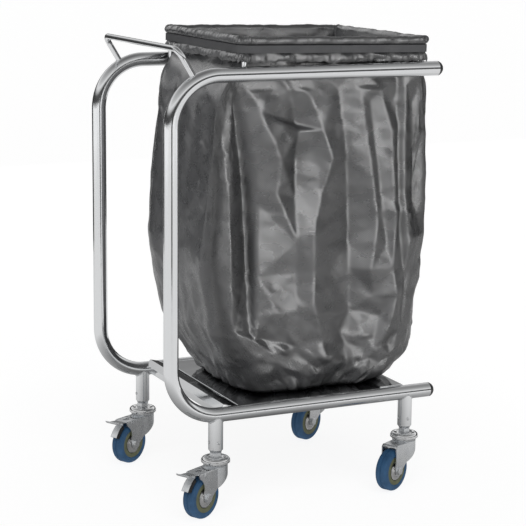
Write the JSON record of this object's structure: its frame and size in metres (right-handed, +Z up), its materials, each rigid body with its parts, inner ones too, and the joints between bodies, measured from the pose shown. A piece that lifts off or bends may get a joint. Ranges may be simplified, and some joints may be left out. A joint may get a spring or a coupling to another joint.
{
  "type": "housekeeping cart",
  "caption": "Wheeled bag cart: two bent-tube side frames with a rear push handle, base tray, rectangular hoop holding an open refuse bag, and swivel casters, the rear pair braked.",
  "frame": {"origin": "on the floor under the middle of the cart's whole footprint, trailing casters included", "axes": "+X from the push handle to the open front, +Y to the far side, +Z up"},
  "size_m": [0.5232, 0.4191, 0.8125],
  "materials": {
    "polished_steel": "polished stainless",
    "tray_steel": "mirror-polished stainless sheet",
    "zinc_steel": "bright zinc plated",
    "bright_cap": "bright plated pressing",
    "bearing_steel": "ground",
    "hub_metal": "bright",
    "black_plastic": "moulded",
    "bag_film": "thin embossed film, soft gloss",
    "band_rubber": "smooth flat elastic",
    "blue_tyre": "smooth, semi-matte",
    "core_plastic": "moulded",
    "shoe_rubber": "moulded"
  },
  "bodies": {
    "frame": {"near_side_frame": "polished_steel", "far_side_frame": "polished_steel", "rail_end_plugs": "black_plastic", "leg_rear_near": "polished_steel", "leg_rear_far": "polished_steel", "leg_front_near": "polished_steel", "leg_front_far": "polished_steel", "leg_inserts": "zinc_steel", "leg_set_screws": "zinc_steel", "stem_lock_nuts": "zinc_steel", "handle_rod": "polished_steel", "base_tray": "tray_steel", "rear_cross_member": "tray_steel", "front_cross_member": "tray_steel", "hoop_upper_rod": "polished_steel", "hoop_posts": "polished_steel", "hoop_lower_rods": "polished_steel", "retaining_band": "band_rubber", "refuse_bag": "bag_film", "swivel_balls": "bearing_steel", "caster_stem_rear_near": "zinc_steel", "swivel_cap_rear_near": "bright_cap", "caster_stem_rear_far": "zinc_steel", "swivel_cap_rear_far": "bright_cap", "caster_stem_front_near": "zinc_steel", "swivel_cap_front_near": "bright_cap", "caster_stem_front_far": "zinc_steel", "swivel_cap_front_far": "bright_cap"},
    "swivel_rear_near": {"fork_rear_near": "zinc_steel", "axle_bolt_rear_near": "zinc_steel", "axle_bush_rear_near": "bearing_steel", "brake_rivet_rear_near": "zinc_steel"},
    "wheel_rear_near": {"tyre_rear_near": "blue_tyre", "wheel_core_rear_near": "core_plastic", "hub_covers_rear_near": "hub_metal"},
    "pedal_rear_near": {"brake_pedal_rear_near": "zinc_steel", "brake_shoe_rear_near": "shoe_rubber"},
    "swivel_rear_far": {"fork_rear_far": "zinc_steel", "axle_bolt_rear_far": "zinc_steel", "axle_bush_rear_far": "bearing_steel", "brake_rivet_rear_far": "zinc_steel"},
    "wheel_rear_far": {"tyre_rear_far": "blue_tyre", "wheel_core_rear_far": "core_plastic", "hub_covers_rear_far": "hub_metal"},
    "pedal_rear_far": {"brake_pedal_rear_far": "zinc_steel", "brake_shoe_rear_far": "shoe_rubber"},
    "swivel_front_near": {"fork_front_near": "zinc_steel", "axle_bolt_front_near": "zinc_steel", "axle_bush_front_near": "bearing_steel"},
    "wheel_front_near": {"tyre_front_near": "blue_tyre", "wheel_core_front_near": "core_plastic", "hub_covers_front_near": "hub_metal"},
    "swivel_front_far": {"fork_front_far": "zinc_steel", "axle_bolt_front_far": "zinc_steel", "axle_bush_front_far": "bearing_steel"},
    "wheel_front_far": {"tyre_front_far": "blue_tyre", "wheel_core_front_far": "core_plastic", "hub_covers_front_far": "hub_metal"}
  },
  "joints": [
    {"name": "swivel_turn_rear_near", "type": "hinge", "parent": "frame", "child": "swivel_rear_near", "pos_m": [-0.1664, -0.1556, 0.09], "axis": [0, 0, 1], "continuous": true},
    {"name": "wheel_roll_rear_near", "type": "hinge", "parent": "swivel_rear_near", "child": "wheel_rear_near", "pos_m": [-0.20172, -0.17438, 0.0375], "axis": [0.4695, -0.8829, 0], "continuous": true},
    {"name": "brake_press_rear_near", "type": "hinge", "parent": "swivel_rear_near", "child": "pedal_rear_near", "pos_m": [-0.2079, -0.17766, 0.0795], "axis": [0.4695, -0.8829, 0], "range_deg": [0, 4.5]},
    {"name": "swivel_turn_rear_far", "type": "hinge", "parent": "frame", "child": "swivel_rear_far", "pos_m": [-0.1664, 0.1844, 0.09], "axis": [0, 0, 1], "continuous": true},
    {"name": "wheel_roll_rear_far", "type": "hinge", "parent": "swivel_rear_far", "child": "wheel_rear_far", "pos_m": [-0.20172, 0.16562, 0.0375], "axis": [0.4695, -0.8829, 0], "continuous": true},
    {"name": "brake_press_rear_far", "type": "hinge", "parent": "swivel_rear_far", "child": "pedal_rear_far", "pos_m": [-0.2079, 0.16234, 0.0795], "axis": [0.4695, -0.8829, 0], "range_deg": [0, 4.5]},
    {"name": "swivel_turn_front_near", "type": "hinge", "parent": "frame", "child": "swivel_front_near", "pos_m": [0.2046, -0.1556, 0.09], "axis": [0, 0, 1], "continuous": true},
    {"name": "wheel_roll_front_near", "type": "hinge", "parent": "swivel_front_near", "child": "wheel_front_near", "pos_m": [0.16928, -0.17438, 0.0375], "axis": [0.4695, -0.8829, 0], "continuous": true},
    {"name": "swivel_turn_front_far", "type": "hinge", "parent": "frame", "child": "swivel_front_far", "pos_m": [0.2046, 0.1844, 0.09], "axis": [0, 0, 1], "continuous": true},
    {"name": "wheel_roll_front_far", "type": "hinge", "parent": "swivel_front_far", "child": "wheel_front_far", "pos_m": [0.16928, 0.16562, 0.0375], "axis": [0.4695, -0.8829, 0], "continuous": true}
  ]
}
